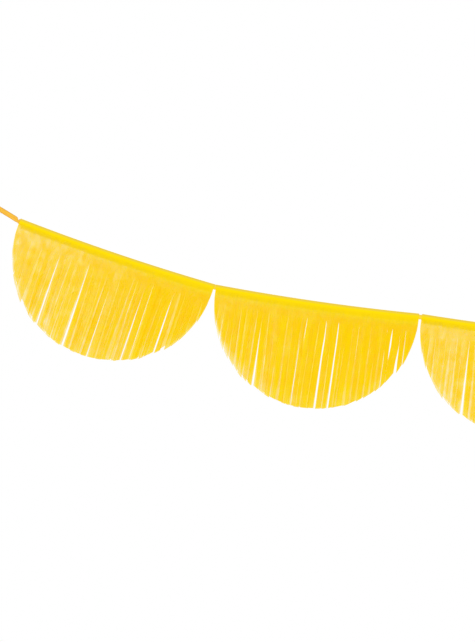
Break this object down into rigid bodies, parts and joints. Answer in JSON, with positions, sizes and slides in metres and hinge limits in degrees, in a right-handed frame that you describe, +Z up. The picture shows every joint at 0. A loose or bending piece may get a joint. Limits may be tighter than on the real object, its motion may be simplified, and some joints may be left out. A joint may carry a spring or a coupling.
{
  "type": "scalloped fringe garland",
  "caption": "Party garland of folded tissue half discs with a straight-cut fringe, hung side by side from a narrow satin ribbon with a knotted hanging loop at each end.",
  "frame": {"origin": "the inside of the left hanging loop, where it bears on its hook", "axes": "+X runs along the garland to the right, +Z is up, and the garland is seen from -Y"},
  "size_m": [1.5896, 0.0064, 0.2758],
  "materials": {
    "yellow_tissue": "thin tissue paper, softly translucent",
    "yellow_satin": "satin ribbon",
    "dried_glue": "dry clear-amber glue"
  },
  "bodies": {
    "left_end": {"left_hanging_loop": "yellow_satin", "left_knot": "yellow_satin", "left_tail_ribbon": "yellow_satin"},
    "scallop_1": {"scallop_1_paper": "yellow_tissue", "scallop_1_ribbon": "yellow_satin", "scallop_1_glue_strip": "dried_glue"},
    "link_1": {"ribbon_link_1": "yellow_satin"},
    "scallop_2": {"scallop_2_paper": "yellow_tissue", "scallop_2_ribbon": "yellow_satin", "scallop_2_glue_strip": "dried_glue"},
    "link_2": {"ribbon_link_2": "yellow_satin"},
    "scallop_3": {"scallop_3_paper": "yellow_tissue", "scallop_3_ribbon": "yellow_satin", "scallop_3_glue_strip": "dried_glue"},
    "link_3": {"ribbon_link_3": "yellow_satin"},
    "scallop_4": {"scallop_4_paper": "yellow_tissue", "scallop_4_ribbon": "yellow_satin", "scallop_4_glue_strip": "dried_glue"},
    "link_4": {"ribbon_link_4": "yellow_satin"},
    "scallop_5": {"scallop_5_paper": "yellow_tissue", "scallop_5_ribbon": "yellow_satin", "scallop_5_glue_strip": "dried_glue"},
    "link_5": {"ribbon_link_5": "yellow_satin"},
    "scallop_6": {"scallop_6_paper": "yellow_tissue", "scallop_6_ribbon": "yellow_satin", "scallop_6_glue_strip": "dried_glue"},
    "right_end": {"ribbon_link_6": "yellow_satin", "right_tail_ribbon": "yellow_satin", "right_knot": "yellow_satin", "right_hanging_loop": "yellow_satin"},
    "scallop_7": {"scallop_7_paper": "yellow_tissue", "scallop_7_ribbon": "yellow_satin", "scallop_7_glue_strip": "dried_glue"}
  },
  "joints": [
    {"name": "fold_1", "type": "hinge", "parent": "left_end", "child": "link_1", "pos_m": [0.28865, 0, -0.11838], "axis": [0, 0, 1], "range_deg": [0, 100]},
    {"name": "fold_2", "type": "hinge", "parent": "link_1", "child": "link_2", "pos_m": [0.49, 0, -0.14573], "axis": [0, 0, 1], "range_deg": [-100, 0]},
    {"name": "fold_3", "type": "hinge", "parent": "link_2", "child": "link_3", "pos_m": [0.69201, 0, -0.16761], "axis": [0, 0, 1], "range_deg": [0, 100]},
    {"name": "fold_4", "type": "hinge", "parent": "link_3", "child": "link_4", "pos_m": [0.89521, 0, -0.16761], "axis": [0, 0, 1], "range_deg": [-100, 0]},
    {"name": "fold_5", "type": "hinge", "parent": "link_4", "child": "link_5", "pos_m": [1.09722, 0, -0.14573], "axis": [0, 0, 1], "range_deg": [0, 100]},
    {"name": "fold_6", "type": "hinge", "parent": "link_5", "child": "right_end", "pos_m": [1.29857, 0, -0.11838], "axis": [0, 0, 1], "range_deg": [-100, 0]},
    {"name": "swing_1", "type": "hinge", "parent": "left_end", "child": "scallop_1", "pos_m": [0.19215, 0, -0.08662], "axis": [-0.9494, 0, 0.314], "range_deg": [-40, 40]},
    {"name": "swing_2", "type": "hinge", "parent": "link_1", "child": "scallop_2", "pos_m": [0.38931, 0, -0.13214], "axis": [0.991, 0, -0.134], "range_deg": [-40, 40]},
    {"name": "swing_3", "type": "hinge", "parent": "link_2", "child": "scallop_3", "pos_m": [0.591, 0, -0.15673], "axis": [-0.9942, 0, 0.108], "range_deg": [-40, 40]},
    {"name": "swing_4", "type": "hinge", "parent": "link_3", "child": "scallop_4", "pos_m": [0.79361, 0, -0.1677], "axis": [1, 0, 0], "range_deg": [-40, 40]},
    {"name": "swing_5", "type": "hinge", "parent": "link_4", "child": "scallop_5", "pos_m": [0.99622, 0, -0.15673], "axis": [-0.9942, 0, -0.108], "range_deg": [-40, 40]},
    {"name": "swing_6", "type": "hinge", "parent": "link_5", "child": "scallop_6", "pos_m": [1.19791, 0, -0.13214], "axis": [0.991, 0, 0.134], "range_deg": [-40, 40]},
    {"name": "swing_7", "type": "hinge", "parent": "right_end", "child": "scallop_7", "pos_m": [1.39507, 0, -0.08662], "axis": [-0.9494, 0, -0.314], "range_deg": [-40, 40]}
  ],
  "couplings": [
    {"joint": "fold_2", "follows": "fold_1", "ratio": -1},
    {"joint": "fold_3", "follows": "fold_1", "ratio": 1},
    {"joint": "fold_4", "follows": "fold_1", "ratio": -1},
    {"joint": "fold_5", "follows": "fold_1", "ratio": 1},
    {"joint": "fold_6", "follows": "fold_1", "ratio": -1}
  ]
}
